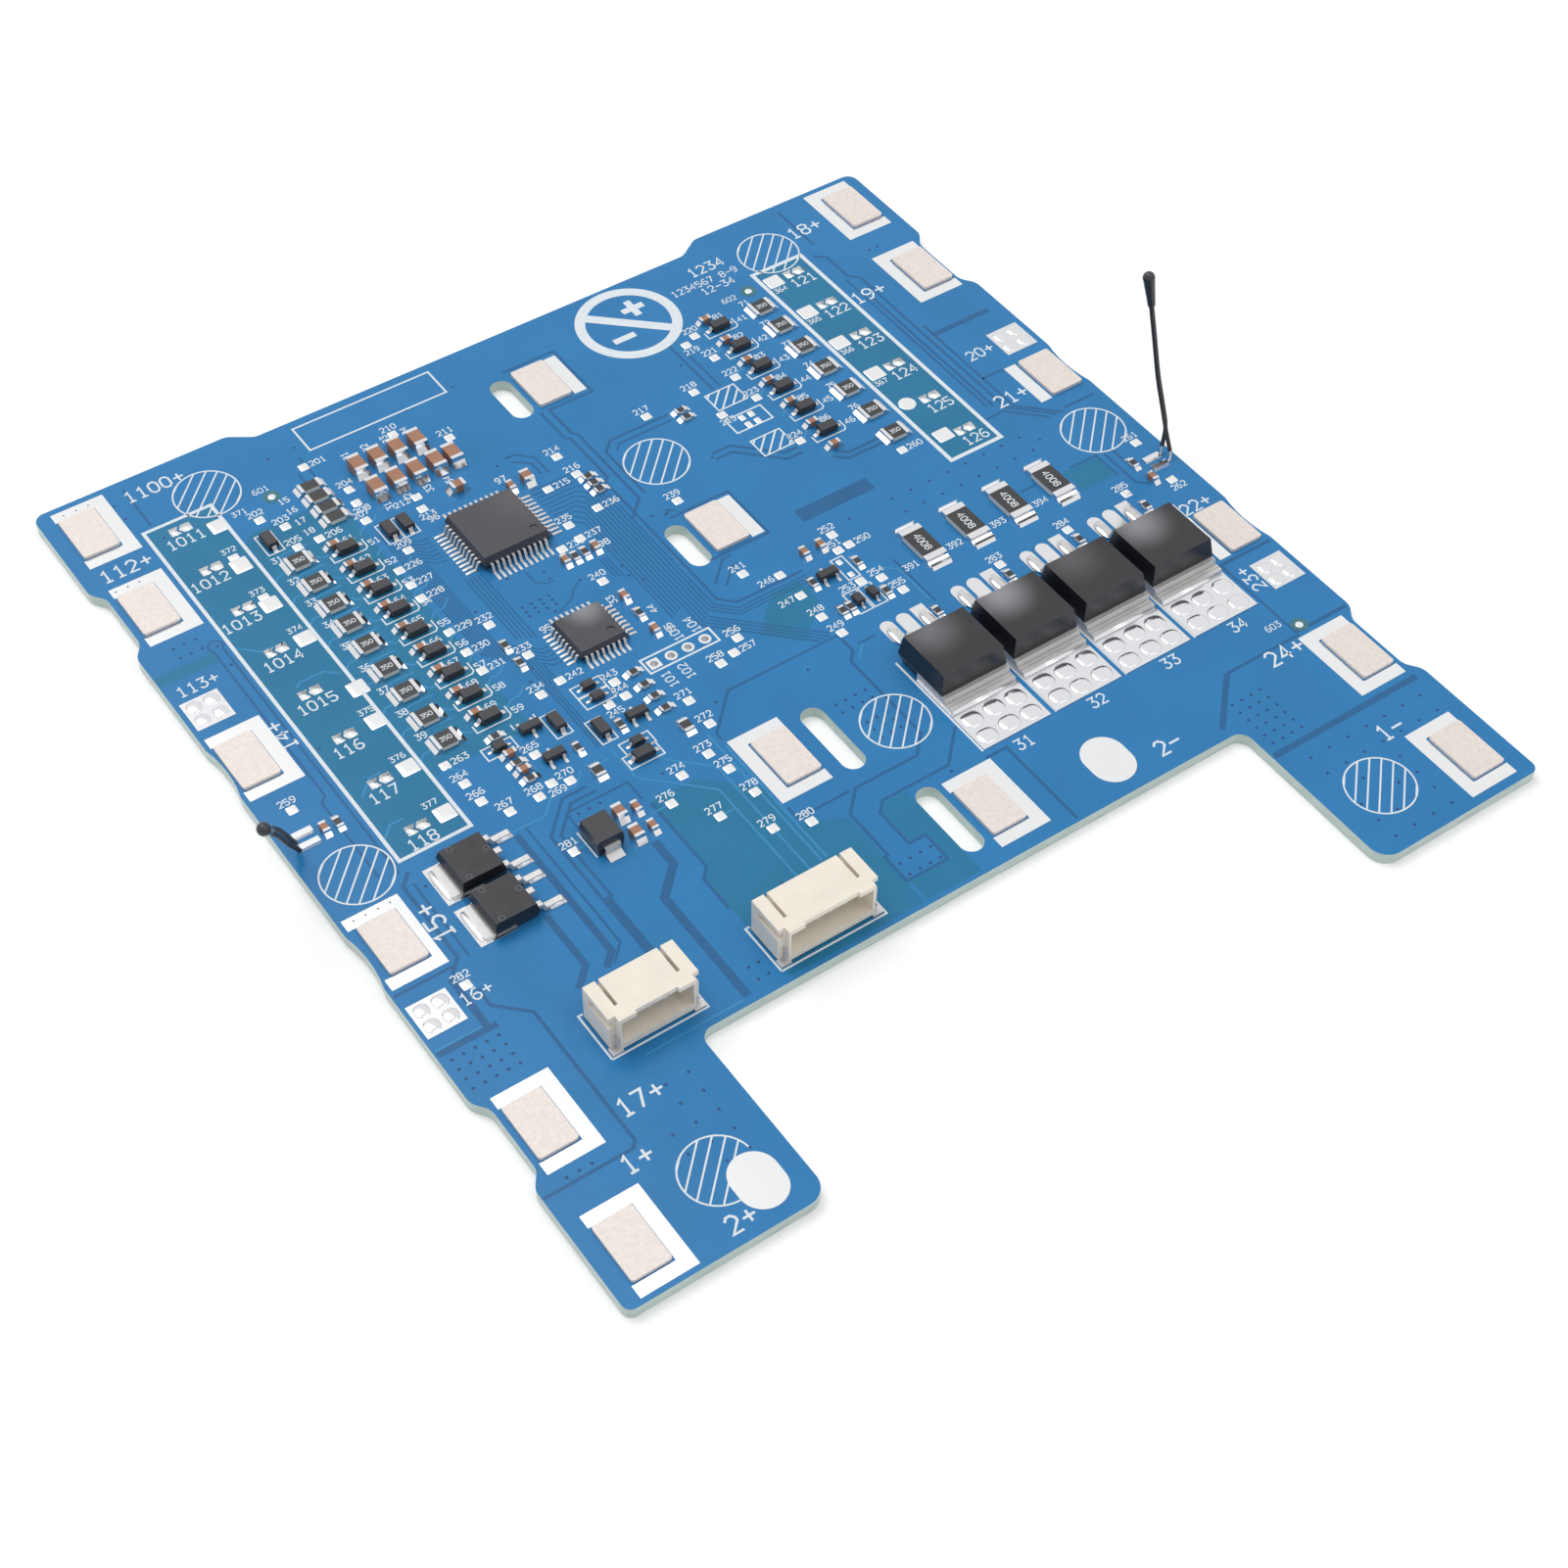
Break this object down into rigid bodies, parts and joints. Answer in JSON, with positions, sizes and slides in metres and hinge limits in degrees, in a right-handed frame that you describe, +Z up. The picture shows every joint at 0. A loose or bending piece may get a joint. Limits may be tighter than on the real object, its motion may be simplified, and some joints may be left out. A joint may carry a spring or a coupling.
{
  "type": "battery management board",
  "caption": "Battery management circuit board with two legs, edge tabs, power transistors, control chips, side-entry wire sockets and bead thermistors.",
  "frame": {"origin": "centre of the board outline on its underside", "axes": "+X across the board from one edge row of tabs to the other, +Y away from the legs, +Z up out of the parts side"},
  "size_m": [0.139, 0.1426, 0.0285],
  "materials": {
    "capacitor_body": "brown ceramic",
    "solder": "bright solder",
    "black_moulding": "black moulding compound",
    "tinned_lead": "tin-plated lead frame",
    "resistor_body": "white ceramic with a black glazed top",
    "board": "blue solder mask over glass-epoxy laminate",
    "nickel_tab": "matt nickel strip",
    "tinned_copper": "bright hot-air tinned copper",
    "socket_housing": "ivory nylon",
    "bead_coating": "black epoxy bead",
    "lead_sleeve": "dark insulated lead"
  },
  "bodies": {
    "root": {"balance_capacitor_bodies": "capacitor_body", "balance_capacitor_ends": "solder", "balance_diode_bodies": "black_moulding", "balance_diode_leads": "tinned_lead", "balance_resistor_bodies": "resistor_body", "balance_resistor_ends": "solder", "bulk_capacitor_bodies": "capacitor_body", "bulk_capacitor_ends": "solder", "circuit_board": "board", "clamp_diode_body": "black_moulding", "clamp_diode_terminals": "tinned_lead", "controller_body": "black_moulding", "controller_leads": "tinned_lead", "edge_tabs_left": "nickel_tab", "edge_tabs_right": "nickel_tab", "header_hole_plating": "tinned_copper", "inner_tabs": "nickel_tab", "left_socket_contacts": "tinned_lead", "left_socket_housing": "socket_housing", "left_socket_solder_tabs": "tinned_lead", "left_thermistor_bead": "bead_coating", "left_thermistor_sleeves": "lead_sleeve", "left_thermistor_wires": "tinned_lead", "monitor_body": "black_moulding", "monitor_leads": "tinned_lead", "mosfet_1_body": "black_moulding", "mosfet_1_tab": "tinned_lead", "mosfet_2_body": "black_moulding", "mosfet_2_tab": "tinned_lead", "mosfet_3_body": "black_moulding", "mosfet_3_tab": "tinned_lead", "mosfet_4_body": "black_moulding", "mosfet_4_tab": "tinned_lead", "mosfet_leads": "tinned_lead", "mosfet_solder_pads": "solder", "power_diode_bodies": "black_moulding", "power_diode_metal": "tinned_lead", "power_diode_solder_pads": "solder", "power_wire_pads": "tinned_copper", "right_socket_contacts": "tinned_lead", "right_socket_housing": "socket_housing", "right_socket_solder_tabs": "tinned_lead", "right_thermistor_bead": "bead_coating", "right_thermistor_sleeves": "lead_sleeve", "right_thermistor_wires": "tinned_lead", "shunt_resistor_bodies": "resistor_body", "shunt_resistor_ends": "solder", "signal_diode_bodies": "black_moulding", "signal_diode_leads": "tinned_lead", "small_capacitor_bodies": "capacitor_body", "small_capacitor_ends": "solder", "small_resistor_bodies": "resistor_body", "small_resistor_ends": "solder", "tab_lands": "tinned_copper", "tap_solder_pads": "solder", "thermistor_solder_joints": "solder", "transistor_bodies": "black_moulding", "transistor_leads": "tinned_lead"}
  },
  "joints": []
}
